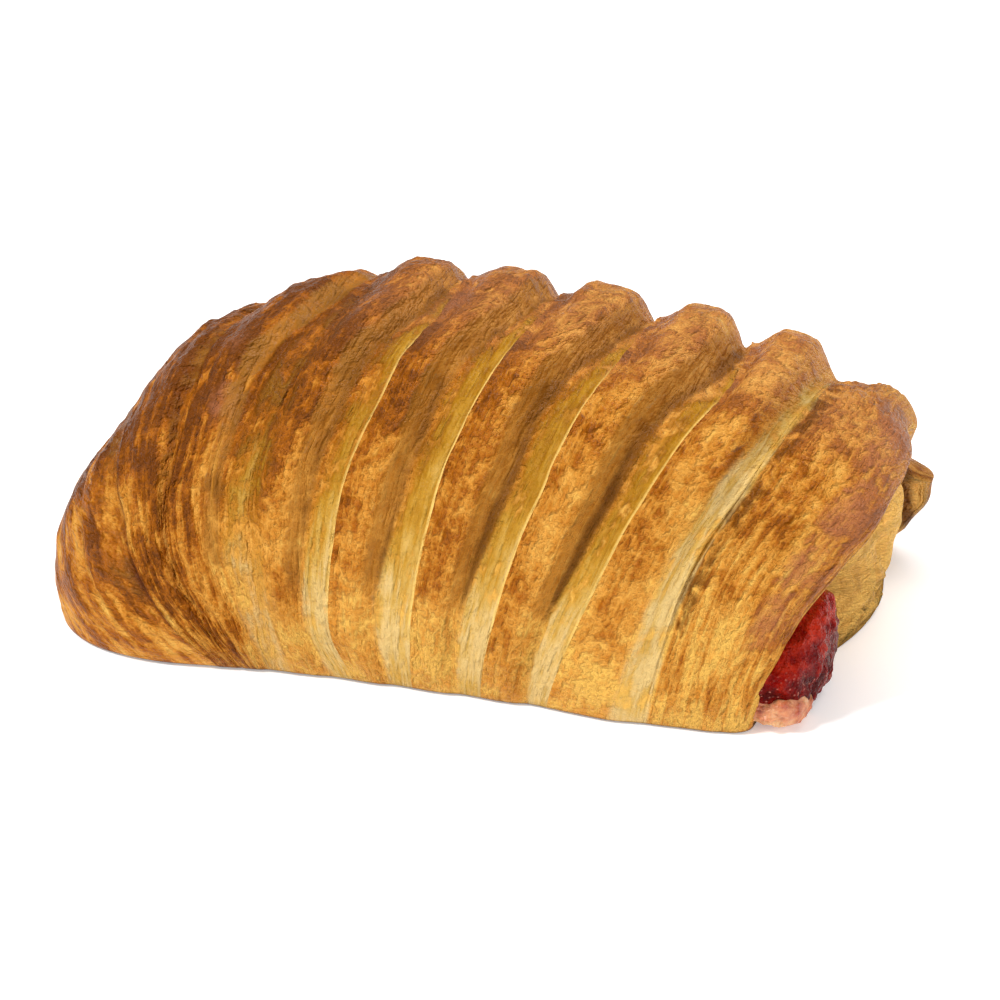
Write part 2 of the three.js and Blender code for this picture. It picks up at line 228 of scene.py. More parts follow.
def noise(x, y, seed, octaves=3, tableSize=64):
    # Smooth random heights between about -1 and 1
    total, share, norm = 0.0, 1.0, 0.0
    for octave in range(octaves):
        table = np.random.default_rng(seed + octave).uniform(-1, 1, (tableSize, tableSize))
        left, low = np.floor(x).astype(int), np.floor(y).astype(int)
        fx, fy = smooth(x - left), smooth(y - low)
        left, low, right, high = (i % tableSize for i in (left, low, left + 1, low + 1))
        lower = mix(table[left, low], table[right, low], fx)
        upper = mix(table[left, high], table[right, high], fx)
        total, norm = total + share * mix(lower, upper, fy), norm + share
        x, y, share = x * 2.03 + 7.7, y * 2.03 + 3.1, share * 0.55
    return total / norm * 1.6


def lineOver(points, angles, corner=2.5, reach=6):
    # A measured line read at the angles, with its corners rounded
    fine = np.arange(-20, 201.0)
    places = np.interp(fine, [p[0] for p in points], [p[1] for p in points])
    kernel = np.exp(-(np.arange(-reach, reach + 1) / corner) ** 2)
    padded = np.pad(places, reach, mode="edge")
    return np.interp(angles, fine, np.convolve(padded, kernel / kernel.sum(), mode="valid"))


def roundedRise(along, run, power):
    left = clamp01(1 - (along + loaf["nose"]) / (run + loaf["nose"]))
    return np.maximum(1 - left ** power, 0) ** (1 / power)


def lipCut(angle):
    places, backs = loaf["lipCutAngles"], loaf["lipCutBacks"]
    total = np.zeros_like(angle) + backs[0]
    for i in range(1, len(places)):
        total = total + (backs[i] - backs[i - 1]) * grow(angle, (places[i - 1], places[i] - places[i - 1]))
    return total


def endShape(u):
    return grow(u, (loaf["endFrom"], 1 - loaf["endFrom"]))


def sliceAt(u):
    along = u * loaf["frontLength"]
    fall = clamp01((u - loaf["fallFrom"]) / (1 - loaf["fallFrom"])) ** 2
    wide = roundedRise(along, loaf["noseWidthRun"], loaf["noseWidthPower"])
    tall = roundedRise(along, loaf["noseHeightRun"], loaf["noseHeightPower"])
    return {
        "frontX": loaf["frontLeft"] + along,
        "halfWidth": loaf["width"] / 2 * wide * mix(1, loaf["endWidthShare"], fall),
        "height": loaf["height"] * tall * mix(1, loaf["endHeightShare"], fall),
        "tuck": mix(loaf["tuckLeft"], loaf["tuckRight"], u) * wide * tall,
        "footRound": loaf["footRound"] * np.minimum(1, wide * tall * loaf["footRoundGrowth"]),
        "leanUp": mix(loaf["leanUpLeft"], loaf["leanUpRight"], u),
        "leanBack": mix(loaf["leanBackLeft"], loaf["leanBackRight"], u),
        "middleY": loaf["bow"] * (1 - (2 * u - 1) ** 2),
    }


def loafSurface(u, angle, push):
    # The loaf's skin at a share u of its length and an angle from the front foot, pushed out by push
    part = sliceAt(u)
    cos, sin = np.cos(np.radians(angle)), np.sin(np.radians(angle))
    y = -part["halfWidth"] * np.sign(cos) * np.abs(cos) ** (2 / loaf["widthPower"])
    z = part["height"] * np.maximum(0, sin) ** (2 / loaf["heightPower"])
    under = part["tuck"] * clamp01(1 - z / loaf["beltHeight"]) ** 2
    below = clamp01(1 - z / np.maximum(part["footRound"], 1e-6))
    under = under + part["footRound"] * (1 - np.sqrt(1 - below ** 2)) * loaf["footRoundIn"]
    y = y - np.sign(y) * np.minimum(under, np.abs(y) * loaf["tuckLimit"])
    x = part["frontX"] + part["leanUp"] * (z / loaf["height"]) ** loaf["leanPower"]
    x = x + part["leanBack"] * (y / loaf["width"] + 0.5) - lipCut(angle) * endShape(u)
    up = z - part["height"] * loaf["pushFrom"]
    length = np.sqrt(y ** 2 + up ** 2) + 1e-9
    y = y + y / length * push
    z = np.maximum(0, z + up / length * push * smooth(z / loaf["footBlend"]))
    return np.stack([x, y + part["middleY"], z], axis=-1)


def rowAngles():
    # Angles at even steps along a middle slice, closer together on the front and the top
    fine = np.linspace(0, 180, strips["rowSteps"])
    line = loafSurface(np.full_like(fine, strips["rowSlice"]), fine, 0.0)
    steps = np.linalg.norm(np.diff(line, axis=0), axis=1)
    density = mix(1.0, strips["backRows"], grow(fine[1:], strips["backRowsFrom"]))
    total = np.concatenate([[0], np.cumsum(steps * density)])
    return np.interp(np.linspace(0, total[-1], strips["rows"]), total, fine)


def stripColumns():
    # Strip number and share across it for every column, closest together at the crisp edges
    left, right = strips["crispLeft"], strips["crispRight"]
    plain = np.linspace(*strips["plainShares"], strips["columns"] - len(left) - len(right))
    across = np.concatenate([left, plain, right])
    count = len(slashes) - 1
    return np.repeat(np.arange(count), len(across)), np.tile(across, count)


def creaseRelief(along, angle):
    relief = np.zeros_like(along)
    grooveShade = np.zeros_like(along)
    for crease in creases:
        away = along - lineOver(crease["line"], angle)
        low, high = crease["line"][0][0], crease["line"][-1][0]
        fade = creaseShape["fade"]
        shown = smooth((angle - low) / fade) * smooth((high - angle) / (2 * fade))
        right = 0.5 + 0.5 * np.tanh(away / creaseShape["sharpness"])
        lipUp = np.exp(-np.maximum(away, 0) / creaseShape["lipRun"])
        dip = creaseShape["grooveShare"] * np.exp(-np.maximum(-away, 0) / creaseShape["grooveRun"])
        relief = relief + crease["depth"] * shown * (right * lipUp - (1 - right) * dip)
        # Painted shade in the groove left of each crease
        dark = shown * np.exp(-np.maximum(-away, 0) / creaseShape["darkRun"]) * (1 - right)
        grooveShade = np.maximum(grooveShade, dark * min(1.0, crease["depth"] / creaseShape["darkDepth"]))
    return relief, grooveShade


def patches(along, angles, spots, key):
    total = np.zeros_like(along)
    for spot in spots:
        reachAlong, reachAngle = spot["reach"]
        away = ((along - spot["at"]) / reachAlong) ** 2 + ((angles - spot["angle"]) / reachAngle) ** 2
        total = total + spot[key] * np.exp(-away)
    return total


def terraces(height, steps, stepShare=0.3):
    # Height broken into flat layers with short steep steps between them
    level = height * steps
    low = np.floor(level)
    return (low + smooth((level - low) / stepShare)) / steps


def evenStrands(places, number, ends):
    # Distance across each strip, spread evenly between the numbers of its two edges
    run = np.cumsum(np.linalg.norm(np.diff(places, axis=0, prepend=places[:1]), axis=2), axis=0)
    strand = np.zeros_like(run)
    for strip in range(len(slashes) - 1):
        own = np.flatnonzero(number[:, 0] == strip)
        part = run[own] - run[own[0]]
        strand[own] = mix(ends[strip], ends[strip + 1], part / part[-1])
    return strand


def stripGrid():
    # Columns and rows of the skin: angle, strip, share across it, place along the foot, slash at each side
    angles = rowAngles()
    number, across = stripColumns()
    edges = np.stack([lineOver(slash["edge"], angles) for slash in slashes])
    across = np.repeat(across[:, None], len(angles), 1)
    along = mix(edges[number], edges[number + 1], across)
    width = np.abs(edges[number + 1] - edges[number])
    strandEnds = edges[:, np.argmin(np.abs(angles - strips["strandAngle"]))].copy()
    strandEnds[0] = -loaf["nose"]
    nose = loaf["nose"] * ((np.arange(1, strips["noseColumns"]) / strips["noseColumns"]) ** 2 - 1)
    spare = np.zeros((len(nose), len(angles)))
    number = np.concatenate([np.zeros(len(nose), int), number])[:, None]
    along = np.concatenate([spare + nose[:, None], along])
    values = {key: np.array([slash.get(key, plain) for slash in slashes])
              for key, plain in plainSlash.items()}
    return {
        "angles": angles + np.zeros_like(along), "number": number, "strandEnds": strandEnds,
        "along": along, "u": along / loaf["frontLength"], "across": np.concatenate([spare, across]),
        "width": np.concatenate([spare + strips["noseWidth"], width]),
        "own": {key: value[number] for key, value in values.items()},
        "after": {key: value[number + 1] for key, value in values.items()},
        "toValley": number == len(slashes) - 3, "isEnd": number == len(slashes) - 2,
    }


def stripPush(grid):
    # Across a strip: up from the crisp edge to the crest, down to the floor, up the cut face to the next edge
    angles, across, u, own, after = (grid[key] for key in ("angles", "across", "u", "own", "after"))
    toValley, isEnd = grid["toValley"], grid["isEnd"]
    onTop = grow(angles, strips["onTop"])
    gentle = mix(1, strips["topStart"], onTop)
    wide = after["wide"] * np.interp(angles, *strips["wideShares"])
    floorAt = 1 - np.where(toValley, after["wide"], np.maximum(wide, strips["leastWide"]))
    fallRun = np.where(toValley, strips["valleyFallRun"], strips["fallRun"])
    fall = np.where(isEnd, 0, smooth((across - floorAt + fallRun) / fallRun))
    ridge = mix(own["start"] * gentle, 1, smooth(across / mix(*strips["crestStart"], onTop))) * (1 - fall)
    facet = np.where(isEnd, 0, clamp01((across - floorAt) / (1 - floorAt)))
    ownFloor = -mix(own["depth"], after["depth"], smooth(across / strips["floorRun"]))
    nextEdge = mix(-after["depth"], after["lift"], after["start"] * gentle)
    fade = mix(strips["frontShare"], 1, smooth(angles / strips["frontTo"]))
    fade = np.where(toValley, mix(strips["valleyShare"], 1, grow(angles, strips["valleyUp"])), fade)
    fade = fade * mix(strips["footShare"], 1, smooth(angles / strips["footTo"]))
    fade = fade * mix(1, strips["backShare"], grow(angles, strips["back"]))
    push = mix(ownFloor, own["lift"], ridge) + (nextEdge + after["depth"]) * facet ** strips["facetPower"]
    push = push - strips["edgeStep"] * facet ** strips["edgeStepPower"] * (after["start"] > 0)
    crisp = (grid["number"] > 0) * (own["start"] > 0)
    curl = np.exp(-(across * grid["width"] / strips["edgeCurlWidth"]) ** 2)
    push = push + strips["edgeCurl"] * crisp * curl
    seam = grow(angles, strips["seam"]) * grow(u, strips["seamAlong"])
    endShare = clamp01((u - loaf["lipFrom"]) / (1 - loaf["lipFrom"]))
    grid["floorAt"], grid["facet"] = floorAt, facet
    return fade * push + strips["seamHeight"] * seam - loaf["lipRound"] * (1 - np.sqrt(1 - endShare ** 2))


def cutPaint(grid):
    # Pale paint of the cut faces, and of the rim that runs past some edges
    angles, across, own, after = (grid[key] for key in ("angles", "across", "own", "after"))
    toValley = grid["toValley"]
    cutFrom = grid["floorAt"] - paint["cutBefore"]
    cutFrom = np.where(toValley, np.interp(angles, *paint["valleyFrom"]), cutFrom)
    cutRun = np.where(toValley, np.interp(angles, *paint["valleyRun"]), np.interp(angles, *paint["cutRun"]))
    upper = grow(angles, paint["cutFade"])
    face = smooth((across - cutFrom) / cutRun) * after["pale"] * mix(1, after["topShare"], upper)
    face = np.where(grid["isEnd"], 0, face)
    bleed = np.maximum(own["bleed"], paint["leastBleed"])
    rim = 1 - smooth((across * grid["width"] - paint["bleedFrom"] * bleed) / bleed)
    rim = rim * own["pale"] * (own["bleed"] > 0) * mix(1, own["topShare"], upper)
    return np.maximum(face, rim) * mix(1, paint["cutTop"], grow(angles, paint["cutTopFrom"]))


def crustPaint(grid, heights, grooveShade):
    # Paint masks: tops are browned, less so towards the foot, and cut faces pale. Painted shade darkens the
    # right flanks, slash floors, creases, cracks and the foot; a painted highlight lines the edges and a
    # painted sheen lies on the tops
    angles, across, along, u = (grid[key] for key in ("angles", "across", "along", "u"))
    own, after, isEnd, gather = (grid[key] for key in ("own", "after", "isEnd", "gather"))
    atEnd = isEnd | grid["toValley"]
    fromEdge = across * grid["width"]
    fromFloor = across - grid["floorAt"]
    lipNear = grow(u, paint["lipLength"]) * between(angles, *paint["lipAngles"])
    ripe = np.interp(angles, *paint["browning"])
    ripe = np.maximum(ripe, gather * np.interp(angles, *paint["gatheredBrowning"]))
    leftTop = between(u, *paint["leftTopLength"]) * between(angles, *paint["leftTopAngles"])
    ripe = (ripe + paint["leftTop"] * leftTop) * np.interp(u, *paint["lengthBrowning"])
    ripe = ripe * np.where(isEnd, np.interp(angles, *paint["endBrowning"]), 1)
    ripe = ripe * (1 + paint["lipBrown"] * lipNear)
    edgeRipe = np.exp(-(fromEdge / paint["edgeBrownReach"]) ** 2) - grow(across, paint["crestPaler"])
    plain = np.where(atEnd, 0, 1) * clamp01(after["depth"] / paint["fullDepth"])
    # Painted shade on each slash's floor
    foldNear = np.exp(-(fromFloor / np.interp(angles, *paint["foldWide"])) ** 2)
    # Painted shade in the cracks beside the edges
    nearEdge = np.exp(-np.maximum(1 - across, 0) * grid["width"] / paint["crackBefore"]) * after["crack"]
    pastEdge = np.exp(-fromEdge / paint["crackPast"]) * own["crack"] * (along > paint["crackAlong"])
    crack = np.maximum(nearEdge, pastEdge) * between(angles, *paint["crackAngles"])
    floorLight, edgeLight = (np.interp(angles, *paint[key]) for key in ("floorLight", "edgeLight"))
    # Painted shadow spots just past the last slash's edge
    fuzzyShade = np.where(isEnd, np.exp(-((fromEdge - paint["fuzzAt"]) / paint["fuzzReach"]) ** 2), 0)
    streak = 1 - paint["backStreak"] * grow(angles, paint["backStreakFrom"])
    streak = streak * paint["gatherStreak"] * gather
    return {
        "brown": ripe * (1 + paint["edgeBrown"] * edgeRipe * (1 - gather)),
        "pale": cutPaint(grid),
        # Painted light and shade of the cut faces
        "cutLight": np.where(atEnd, np.interp(angles, *paint["valleyLight"]),
                             mix(floorLight, edgeLight, grid["facet"])),
        # Painted highlight: a thin bright line along the crisp edges
        "edge": np.where(atEnd, 0, grow(across, paint["lineAcross"])) * after["line"]
        * between(angles, *paint["lineAngles"]),
        # Painted shade on the right flanks that fall into the slashes
        "flank": plain * between(fromFloor, *paint["flankAcross"]) * between(angles, *paint["flankAngles"]),
        "fold": plain * foldNear * after["fold"] * between(angles, *paint["foldAngles"]),
        # Browned edge with a painted contact shadow along the foot
        "soleBrownAndShade": 1 - grow(heights, paint["soleHeight"]),
        # Painted sheen on the tops
        "topSheen": grow(angles, paint["crownUp"]) * grow(u, paint["crownLength"]),
        "grooveShade": np.maximum(grooveShade, crack),
        "fuzzyShade": fuzzyShade * between(angles, *paint["fuzzAngles"]),
        "streak": np.maximum(streak, np.where(isEnd, np.interp(angles, *paint["endStreak"]), 0)),
        # Smooth patches and the lip's edge, with a painted pinkish sheen
        "plumSheen": patches(along, angles, plumSheenPatches, "share") + paint["lipPlumSheen"] * lipNear,
        "inside": np.zeros_like(u),
    }


def crustGrid():
    # Places, strand and arc distances, and paint masks of the crust's columns and rows
    grid = stripGrid()
    angles, across, along, u = (grid[key] for key in ("angles", "across", "along", "u"))
    relief, grooveShade = creaseRelief(along, angles)
    push = stripPush(grid) + relief + patches(along, angles, swells, "out")
    places = loafSurface(u, angles, push)
    arc = np.cumsum(np.linalg.norm(np.diff(places, axis=1, prepend=places[:, :1]), axis=2), axis=1)
    strand = evenStrands(places, grid["number"], grid["strandEnds"])
    gather = 1 - grow(strand, paint["gather"])
    grid["gather"] = gather
    masks = crustPaint(grid, places[:, :, 2], grooveShade)
    # Fine relief, flakier on the last strip and the sealed tip
    flaky = np.where(grid["isEnd"], smooth(across / flaking["endRun"]), 0)
    flaky = flaky + grow(-along, flaking["tipTo"]) * grow(angles, flaking["tipUp"])
    stand = {key: noise(strand / size[0], arc / size[1], seed * 10) * size[2]
             for seed, (key, size) in enumerate(texture.items())}
    pits = -np.maximum(0, stand["pits"] - flaking["pitFrom"]) * clamp01(flaky)
    # Painted shade in the pits
    pitDark = flaking["pitDark"] * clamp01(-pits / flaking["pitDeep"]) * gather
    masks["grooveShade"] = np.maximum(masks["grooveShade"], pitDark)
    spread = flaking["layerSpread"]
    layers = terraces(stand["layers"] * spread, flaking["layerSteps"]) / spread
    layers = layers * mix(flaking["plainLayers"], 1, clamp01(flaky + gather))
    calm = smooth(angles / flaking["footCalm"]) * smooth((1 - u) / flaking["lipCalm"])
    calm = calm * (1 - flaking["backCalm"] * grow(angles, flaking["backCalmFrom"]))
    bare = 1 - flaking["cutSmooth"] * masks["pale"]
    fine = stand["lumps"] + (stand["blisters"] + layers) * bare + pits
    fine = fine + stand["strands"] * mix(*flaking["strandShares"], gather)
    return loafSurface(u, angles, push + calm * fine), strand, arc, masks


# End wall behind the lip. Its folds are straight ridges or gaps from one place to another in Y and Z
endWall = {
    "lipUnder": 2.6, "recess": 1.6, "stepBack": 1.4, "roundRings": 5, "recessRings": 5, "rings": 26,
    "baseFrom": (150, 30), "baseFlat": 0.6, "bulge": 0.3, "bulgeHeight": 12.0, "foldsUp": 5,
    "topBack": 2.5, "topBackFrom": (24, 12), "farthestX": 74, "toWall": 0.22, "toRim": (0.68, 0.32),
    "layers": 1.1, "layerRows": (11, 3), "layerSeed": 90, "layerIn": 0.15, "layerOut": 0.1, "layerEnds": 0.3,
    "pocketX": (60.0, 63.5), "pocket": (-18.5, 10.2), "pocketHalf": (12.8, 9.0), "pocketPower": 3.0,
    "pocketRings": ((3, 0.97), (8, 0.9), (12, 0.6)), "pocketDepth": 13.0,
}
wallPaint = {
    # Paint of the end wall: the inside dough is painted brighter, and the layer, fold and gap marks are
    # painted shade
    "insideRings": 4, "brown": 0.2, "brownRings": 8, "flapBrown": 0.5, "flapBrownFrom": (22, 6),
    "layerShade": 0.6, "streak": 0.9, "foldDark": 0.6, "foldDarkFrom": (0.3, 3.5),
    "gapTo": (-73.8, 1.6), "gapFrom": (26.0, 3.0), "gapUp": (3, 5),
    "baseBrown": 0.75, "baseSole": 0.5, "baseGrain": 4, "grainSize": 100, "poles": [0.8, 0.0],
}
endFolds = [
    {"low": (20.0, 14.0), "high": (8.0, 29.0), "width": 4.0, "out": 2.4, "ends": 5.0},
    {"low": (29.0, 8.0), "high": (22.0, 26.0), "width": 1.8, "out": -5.0, "ends": 4.0},
    {"low": (9.0, 17.0), "high": (0.0, 29.0), "width": 1.8, "out": -2.4, "ends": 5.0},
    {"low": (2.0, 8.0), "high": (-8.0, 24.0), "width": 4.5, "out": 1.0, "ends": 5.0},
    {"low": (13.0, 2.0), "high": (5.0, 15.0), "width": 1.0, "out": -0.9, "ends": 4.0},
    {"low": (-1.0, 13.0), "high": (-9.0, 27.0), "width": 0.8, "out": -1.0, "ends": 4.0},
    {"low": (17.0, 4.0), "high": (13.0, 12.0), "width": 0.9, "out": -0.9, "ends": 3.0},
]
poleOut = 0.1


def endFoldRelief(y, z):
    relief = np.zeros_like(y)
    for fold in endFolds:
        low, high, ends = np.array(fold["low"]), np.array(fold["high"]), fold["ends"]
        length = np.linalg.norm(high - low)
        way = (high - low) / length
        along = (y - low[0]) * way[0] + (z - low[1]) * way[1]
        aside = (y - low[0]) * way[1] - (z - low[1]) * way[0]
        shown = smooth((along + ends) / ends) * smooth((length + ends - along) / ends)
        relief = relief + fold["out"] * shown * np.exp(-(aside / fold["width"]) ** 2)
    return relief


def wallRings(lipRing, isBase):
    # From the lip or the base's edge, round under it, along the end wall to the pocket's rim and into it
    count = len(lipRing)
    domeCount = strips["rows"]
    baseTurn = 1 + np.arange(1, count - domeCount + 1) / (count - domeCount + 1)
    turn = np.concatenate([np.linspace(0, np.pi, domeCount), np.pi * baseTurn])
    across, up = -np.cos(turn), np.sin(turn)
    power = endWall["pocketPower"]
    square = 1 / (np.abs(across) ** power + np.abs(up) ** power) ** (1 / power)
    rimY = endWall["pocket"][0] + square * across * endWall["pocketHalf"][0]
    rimZ = endWall["pocket"][1] + square * up * endWall["pocketHalf"][1]
    rimX = mix(*endWall["pocketX"], (rimY - endWall["pocket"][0]) / endWall["pocketHalf"][0] * 0.5 + 0.5)
    rim = np.stack([rimX, rimY, rimZ], axis=-1)
    baseLine = lipRing[domeCount - 1:]
    order = np.argsort(baseLine[:, 1])

    def wallX(y, z):
        edge = np.interp(y, baseLine[order, 1], baseLine[order, 0])
        plain = edge + endWall["bulge"] * np.sin(np.pi * clamp01(z / endWall["bulgeHeight"]))
        folds = endFoldRelief(y, z) * smooth(z / endWall["foldsUp"])
        return plain + folds - endWall["topBack"] * grow(z, endWall["topBackFrom"])

    toRim = rim - lipRing
    toRim[:, 0] = 0
    inward = toRim / np.linalg.norm(toRim, axis=1, keepdims=True)
    rings = []
    shades = {}
    for i in range(1, endWall["roundRings"] + 1):
        angle = i / endWall["roundRings"] * np.pi / 2
        ring = lipRing + inward * endWall["lipUnder"] * np.sin(angle)
        ring[:, 0] -= endWall["lipUnder"] * (1 - np.cos(angle)) * (1 - endWall["baseFlat"] * isBase)
        rings.append(ring)
    under = rings[-1].copy()
    deep = under + inward * endWall["recess"]
    deep[:, 0] = np.minimum(under[:, 0] - endWall["stepBack"] * (1 - isBase), wallX(deep[:, 1], deep[:, 2]))
    for i in range(1, endWall["recessRings"] + 1):
        share = i / endWall["recessRings"]
        ring = mix(under, deep, share)
        ring[:, 0] = mix(under[:, 0], deep[:, 0], np.sin(share * np.pi / 2))
        rings.append(ring)
    layerAcross, layerAround = endWall["layerRows"]
    layerEnds = smooth(turn / endWall["layerEnds"]) * smooth((2 * np.pi - turn) / endWall["layerEnds"])
    for i in range(1, endWall["rings"] + 1):
        share = i / endWall["rings"]
        ring = mix(deep, rim, share)
        onWall = mix(deep[:, 0], wallX(ring[:, 1], ring[:, 2]), smooth(share / endWall["toWall"]))
        onWall = np.minimum(onWall, endWall["farthestX"])
        layers = noise(np.full(count, share * layerAcross), turn * layerAround, endWall["layerSeed"])
        layers = layers * smooth(share / endWall["layerIn"]) * smooth((1 - share) / endWall["layerOut"])
        layers = layers * layerEnds
        ring[:, 0] = mix(onWall, rim[:, 0], grow(share, endWall["toRim"])) + endWall["layers"] * layers
        shades[len(rings)] = -layers
        rings.append(ring)
    middle = rim.mean(axis=0)
    for depth, share in endWall["pocketRings"]:
        ring = mix(middle, rim, share)
        ring[:, 0] = rim[:, 0] - depth
        rings.append(ring)
    pole = middle - np.array([endWall["pocketDepth"], 0, 0])
    shade = np.stack([shades.get(i, np.zeros(count)) for i in range(len(rings))])
    return np.array(rings), shade, pole


def addMesh(name, places, faces):
    # New mesh object from places in millimetres
    mesh = bpy.data.meshes.new(name)
    mesh.from_pydata((np.asarray(places) * mm).tolist(), [], faces)
    mesh.update()
    piece = bpy.data.objects.new(name, mesh)
    bpy.context.scene.collection.objects.link(piece)
    return piece


def ringFaces(ringCount, count, startPole, endPole):
    # Quads between rings of equal count, closed with a fan at each pole
    faces = []
    for r in range(ringCount - 1):
        a, b = r * count, (r + 1) * count
        for i in range(count):
            j = (i + 1) % count
            faces.append((a + i, b + i, b + j, a + j))
    last = (ringCount - 1) * count
    for i in range(count):
        j = (i + 1) % count
        faces.append((startPole, i, j))
        faces.append((last + i, endPole, last + j))
    return faces


def ringMesh(name, rings, startPole, endPole):
    count = len(rings[0])
    flat = np.concatenate([np.array(rings).reshape(-1, 3), [startPole, endPole]])
    return addMesh(name, flat, ringFaces(len(rings), count, len(flat) - 2, len(flat) - 1))


def setMask(mesh, name, values):
    layer = mesh.attributes.new(name, "FLOAT", "POINT")
    layer.data.foreach_set("value", np.asarray(values, np.float32).ravel())


def setUv(mesh, name, uv):
    layer = mesh.uv_layers.new(name=name)
    corners = np.empty(len(mesh.loops), np.int32)
    mesh.loops.foreach_get("vertex_index", corners)
    layer.data.foreach_set("uv", np.asarray(uv, np.float32)[corners].ravel())


def fullMask(name, values, wall, wallShade, inward):
    # A mask of the skin carried on over the base's rows and the end wall's rings
    columns, rows = values.shape
    x, y, z = (wall[:, :, i] for i in range(3))
    skin = np.zeros((columns, wall.shape[1]))
    skin[:, :rows] = values
    end = np.zeros_like(x)
    # Pale inside dough over the end wall, painted brighter to stand in for light on it
    if name == "inside":
        end = end + smooth(inward / wallPaint["insideRings"])
    if name == "brown":
        end = mix(skin[-1], wallPaint["brown"], smooth(inward / wallPaint["brownRings"]))
        end = end + wallPaint["flapBrown"] * grow(y, wallPaint["flapBrownFrom"])
        # Painted shade in the hollows between the end wall's layers
        end = end + wallPaint["layerShade"] * wallShade
        skin[:, rows:] = wallPaint["baseBrown"]
    if name == "streak":
        skin[:, rows:] = values[:, -1:]
        end = end + wallPaint["streak"]
    if name == "grooveShade":
        # Painted shadow in the gap beside the flap, and painted shade in the hollows of the end wall's folds
        gap = grow(-x, wallPaint["gapTo"]) * grow(y, wallPaint["gapFrom"]) * grow(z, wallPaint["gapUp"])
        dark = wallPaint["foldDark"] * grow(-endFoldRelief(y, z), wallPaint["foldDarkFrom"])
        end = np.maximum(dark, gap)
    # The base is browned; on the skin the mask is the foot's browned edge with a painted contact shadow
    if name == "soleBrownAndShade":
        skin[:, rows:] = wallPaint["baseSole"]
    return np.concatenate([skin.ravel(), end.ravel(), wallPaint["poles"]])


def makeCrust():
    places, strand, arc, masks = crustGrid()
    columns, rows = strand.shape
    baseCount = strips["baseRows"]
    share = (np.arange(1, baseCount + 1) / (baseCount + 1))[None, :, None]
    base = mix(places[:, -1:, :], places[:, :1, :], share)
    u = (places[:, :1, 0] - loaf["frontLeft"]) / loaf["frontLength"]
    bulge = loaf["baseBulge"] * np.sin(np.pi * clamp01(share[:, :, 0] / loaf["baseBulgeShare"]))
    base[:, :, 0] += bulge * endShape(u)
    skin = np.concatenate([places, base], axis=1)
    isBase = np.concatenate([grow(rowAngles(), endWall["baseFrom"]), np.ones(baseCount)])
    wall, wallShade, endPole = wallRings(skin[-1], isBase)
    startPole = skin[0].mean(axis=0)
    startPole[0] = skin[0][:, 0].min() - poleOut
    piece = ringMesh("crust", np.concatenate([skin, wall]), startPole, endPole)
    inward = np.arange(1, len(wall) + 1)[:, None]
    for name, values in masks.items():
        setMask(piece.data, name, fullMask(name, values, wall, wallShade, inward))
    # Grain runs along the strips, on across the base and inward over the end wall
    baseArc = arc[:, -1:] + np.arange(1, baseCount + 1) * wallPaint["baseGrain"]
    grain = np.stack([np.concatenate([strand, np.repeat(strand[:, -1:], baseCount, 1)], axis=1),
                      np.concatenate([arc, baseArc], axis=1)], axis=-1)
    wallGrain = grain[-1] + np.stack([inward, 0 * inward], axis=-1)
    uv = np.concatenate([grain.reshape(-1, 2), wallGrain.reshape(-1, 2)]) / wallPaint["grainSize"]
    setUv(piece.data, "grain", np.concatenate([uv, [[0, 0], [0, 0]]]))
    return piece


# Shader helpers
def newTree(name):
    material = bpy.data.materials.new(name)
    material.use_nodes = True
    tree = material.node_tree
    tree.nodes.clear()
    return material, tree


def addNode(tree, kind, settings=None, **sockets):
    # Sockets are given by name, or by number as i0, i1 and so on
    node = tree.nodes.new(kind)
    for key, value in (settings or {}).items():
        setattr(node, key, value)
    for key, value in sockets.items():
        target = node.inputs[int(key[1:])] if key[0] == "i" and key[1:].isdigit() else node.inputs[key]
        if isinstance(value, bpy.types.NodeSocket):
            tree.links.new(value, target)
        else:
            target.default_value = value
    return node


def calc(tree, operation, a, b):
    return addNode(tree, "ShaderNodeMath", {"operation": operation}, i0=a, i1=b).outputs[0]


def times(tree, value, size):
    return calc(tree, "MULTIPLY", value, size)


def total(tree, *values):
    result = values[0]
    for value in values[1:]:
        result = calc(tree, "ADD", result, value)
    return result


def weighted(tree, layers, weights):
    return total(tree, *(times(tree, layers[name], weight) for name, weight in weights.items()))


def blend(tree, share, a, b):
    return addNode(tree, "ShaderNodeMix", {"data_type": "RGBA"}, i0=share, i6=a, i7=b).outputs[2]


def span(tree, value, low, high, toLow=0.0, toHigh=1.0):
    settings = {"interpolation_type": "SMOOTHSTEP"}
    node = addNode(tree, "ShaderNodeMapRange", settings, i0=value, i1=low, i2=high, i3=toLow, i4=toHigh)
    return node.outputs[0]


def mask(tree, name):
    return addNode(tree, "ShaderNodeAttribute", {"attribute_name": name}).outputs["Fac"]


def ramp(tree, value, stops):
    node = addNode(tree, "ShaderNodeValToRGB", Fac=value)
    elements = node.color_ramp.elements
    while len(elements) < len(stops):
        elements.new(0.5)
    for element, (place, colour) in zip(elements, stops):
        element.position = place
        element.color = colour
    return node.outputs["Color"]


def srgb(*levels):
    linear = [(v / 255 / 12.92) if v < 11 else ((v / 255 + 0.055) / 1.055) ** 2.4 for v in levels]
    return (*linear, 1)


def noiseLayer(tree, vector, scale, detail, roughness, distortion=0.0):
    return addNode(tree, "ShaderNodeTexNoise", Vector=vector, Scale=scale, Detail=detail, Roughness=roughness,
                   Distortion=distortion).outputs["Fac"]


def addSurface(tree, colour, height, depth, settings):
    # The shader with its bump, which is what the material shows
    bump = addNode(tree, "ShaderNodeBump", Height=height, Strength=1.0, Distance=depth).outputs[0]
    shader = addNode(tree, "ShaderNodeBsdfPrincipled", Normal=bump, **{"Base Color": colour}, **settings)
    addNode(tree, "ShaderNodeOutputMaterial", Surface=shader.outputs[0])


